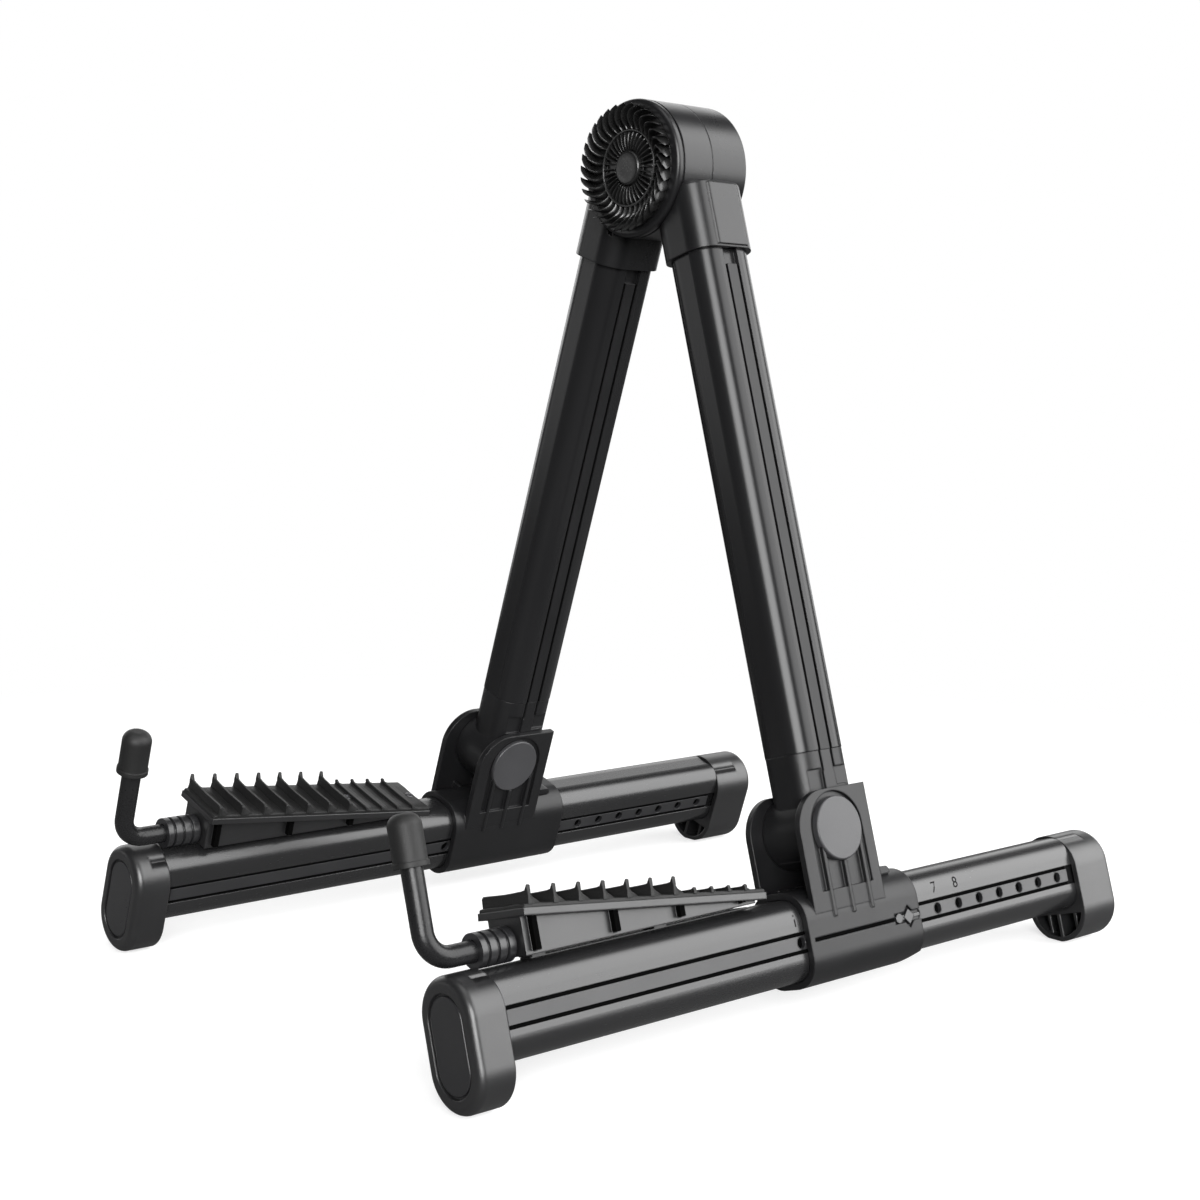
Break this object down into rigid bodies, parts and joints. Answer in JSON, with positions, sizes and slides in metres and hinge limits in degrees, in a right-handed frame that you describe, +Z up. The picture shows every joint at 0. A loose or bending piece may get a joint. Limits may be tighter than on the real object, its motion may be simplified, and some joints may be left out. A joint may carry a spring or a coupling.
{
  "type": "folding guitar stand",
  "caption": "Folding A-frame floor stand for one guitar: two hinged legs, telescoping side rails, ribbed cradle trays and upturned arms with soft tips.",
  "frame": {"origin": "on the floor, at the centre of the overall length and width", "axes": "+Z up, +Y towards the back of the stand, +X across to its near (right) side frame"},
  "size_m": [0.2186, 0.3079, 0.2984],
  "materials": {
    "anodised_black": "satin anodised black",
    "strip_black": "fine satin",
    "shell_black": "fine spark-eroded satin",
    "panel_black": "semi-gloss",
    "rod_black": "smooth black powder coat",
    "soft_black": "soft matte rubber",
    "pin_steel": "blackened steel"
  },
  "bodies": {
    "left_leg": {"leg_tube_left": "anodised_black", "leg_strip_outer_left": "strip_black", "leg_strip_inner_left": "strip_black", "leg_foot_left": "shell_black", "hub_front_half": "shell_black", "hub_bolt": "pin_steel", "hub_nut": "pin_steel", "hub_friction_washer": "strip_black", "hub_grip_pad": "soft_black"},
    "left_sleeve": {"sleeve_left": "shell_black", "clevis_pin_left": "pin_steel", "clevis_cap_left": "panel_black", "clevis_cap_inner_left": "panel_black"},
    "left_latch": {"latch_left": "panel_black"},
    "left_rail": {"rail_left": "anodised_black", "rail_strip_outer_left": "strip_black", "rail_strip_inner_left": "strip_black", "front_cap_left": "shell_black", "front_cap_panel_left": "panel_black", "rear_cap_left": "shell_black", "cradle_brackets_left": "rod_black", "cradle_axle_left": "pin_steel"},
    "left_cradle": {"cradle_tray_left": "shell_black", "cradle_pad_left": "soft_black"},
    "left_collar": {"arm_collar_left": "shell_black"},
    "left_arm": {"arm_rod_left": "rod_black", "arm_tip_left": "soft_black"},
    "right_leg": {"leg_tube_right": "anodised_black", "leg_strip_outer_right": "strip_black", "leg_strip_inner_right": "strip_black", "leg_foot_right": "shell_black", "hub_rear_half": "shell_black", "hub_rear_cover": "panel_black"},
    "right_sleeve": {"sleeve_right": "shell_black", "clevis_pin_right": "pin_steel", "clevis_cap_right": "panel_black", "clevis_cap_inner_right": "panel_black"},
    "right_latch": {"latch_right": "panel_black"},
    "right_rail": {"rail_right": "anodised_black", "rail_strip_outer_right": "strip_black", "rail_strip_inner_right": "strip_black", "front_cap_right": "shell_black", "front_cap_panel_right": "panel_black", "rear_cap_right": "shell_black", "cradle_brackets_right": "rod_black", "cradle_axle_right": "pin_steel"},
    "right_cradle": {"cradle_tray_right": "shell_black", "cradle_pad_right": "soft_black"},
    "right_collar": {"arm_collar_right": "shell_black"},
    "right_arm": {"arm_rod_right": "rod_black", "arm_tip_right": "soft_black"}
  },
  "joints": [
    {"name": "hub_spread", "type": "hinge", "parent": "left_leg", "child": "right_leg", "pos_m": [0, 0.01605, 0.27474], "axis": [0, 1, 0], "range_deg": [0, 35]},
    {"name": "left_leg_fold", "type": "hinge", "parent": "left_leg", "child": "left_sleeve", "pos_m": [-0.08339, 0.01125, 0.05515], "axis": [-0.9537, 0, 0.3007], "range_deg": [0, 72]},
    {"name": "left_latch_release", "type": "slide", "parent": "left_sleeve", "child": "left_latch", "axis": [-0.9537, 0, 0.3007], "range_m": [0, 0.002]},
    {"name": "left_rail_slide", "type": "slide", "parent": "left_sleeve", "child": "left_rail", "axis": [0, -1, 0], "range_m": [0, 0.07945]},
    {"name": "left_cradle_tilt", "type": "hinge", "parent": "left_rail", "child": "left_cradle", "pos_m": [-0.08835, -0.08625, 0.03942], "axis": [0, -1, 0], "range_deg": [0, 15]},
    {"name": "left_arm_swivel", "type": "hinge", "parent": "left_cradle", "child": "left_collar", "pos_m": [-0.0876, -0.12625, 0.0418], "axis": [0, -1, 0], "range_deg": [0, 90]},
    {"name": "left_arm_slide", "type": "slide", "parent": "left_collar", "child": "left_arm", "axis": [0, -1, 0], "range_m": [0, 0.01]},
    {"name": "right_leg_fold", "type": "hinge", "parent": "right_leg", "child": "right_sleeve", "pos_m": [0.08339, 0.01125, 0.05515], "axis": [-0.9537, 0, -0.3007], "range_deg": [0, 72]},
    {"name": "right_latch_release", "type": "slide", "parent": "right_sleeve", "child": "right_latch", "axis": [0.9537, 0, 0.3007], "range_m": [0, 0.002]},
    {"name": "right_rail_slide", "type": "slide", "parent": "right_sleeve", "child": "right_rail", "axis": [0, -1, 0], "range_m": [0, 0.07945]},
    {"name": "right_cradle_tilt", "type": "hinge", "parent": "right_rail", "child": "right_cradle", "pos_m": [0.08835, -0.08625, 0.03942], "axis": [0, 1, 0], "range_deg": [0, 15]},
    {"name": "right_arm_swivel", "type": "hinge", "parent": "right_cradle", "child": "right_collar", "pos_m": [0.0876, -0.12625, 0.0418], "axis": [0, 1, 0], "range_deg": [0, 90]},
    {"name": "right_arm_slide", "type": "slide", "parent": "right_collar", "child": "right_arm", "axis": [0, -1, 0], "range_m": [0, 0.01]}
  ]
}
